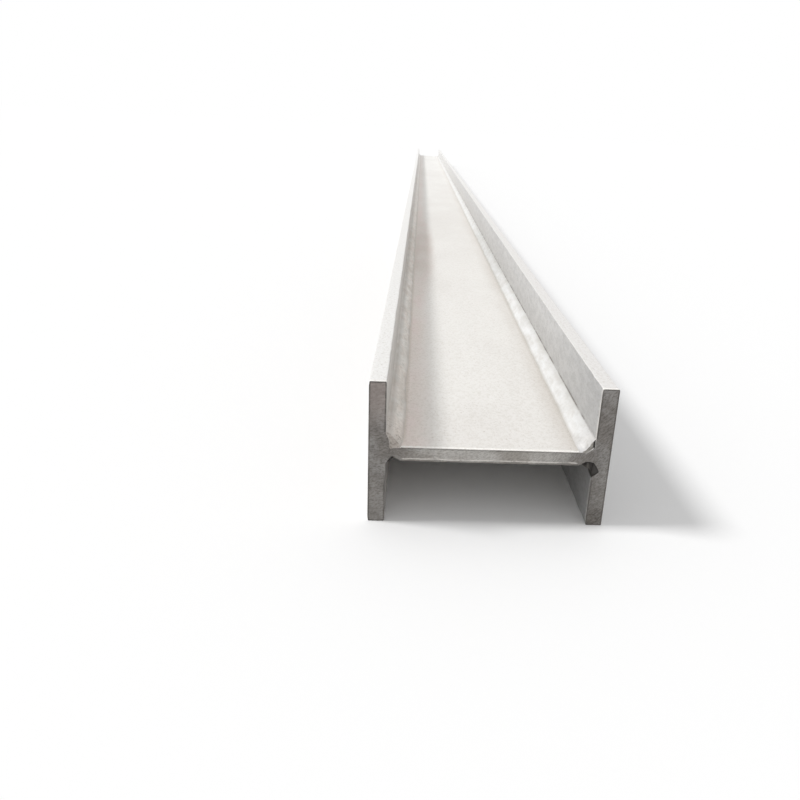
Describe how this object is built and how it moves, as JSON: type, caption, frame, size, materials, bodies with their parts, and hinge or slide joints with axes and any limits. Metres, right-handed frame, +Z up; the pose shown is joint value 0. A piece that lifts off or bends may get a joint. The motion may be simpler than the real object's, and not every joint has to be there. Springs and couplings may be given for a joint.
{
  "type": "aluminum h-beam",
  "caption": "Long H-section beam welded up from flat plates, lying with its flanges upright and its web level, for frames, platforms and supports.",
  "frame": {"origin": "on the floor under the middle of the beam, halfway along it and midway between the flanges", "axes": "+Y along the beam, away from the end that faces the camera; +X across the section to the right-hand flange; +Z up"},
  "size_m": [0.2, 6, 0.125],
  "materials": {
    "plate": "matte mill plate, dull grey-white, heat tint beside the welds, sawn ends",
    "weld_metal": "bright satin weld bead with fine ripples"
  },
  "bodies": {
    "root": {"web_plate": "plate", "left_flange": "plate", "right_flange": "plate", "weld_top_left": "weld_metal", "weld_top_right": "weld_metal", "weld_bottom_left": "weld_metal", "weld_bottom_right": "weld_metal"}
  },
  "joints": []
}
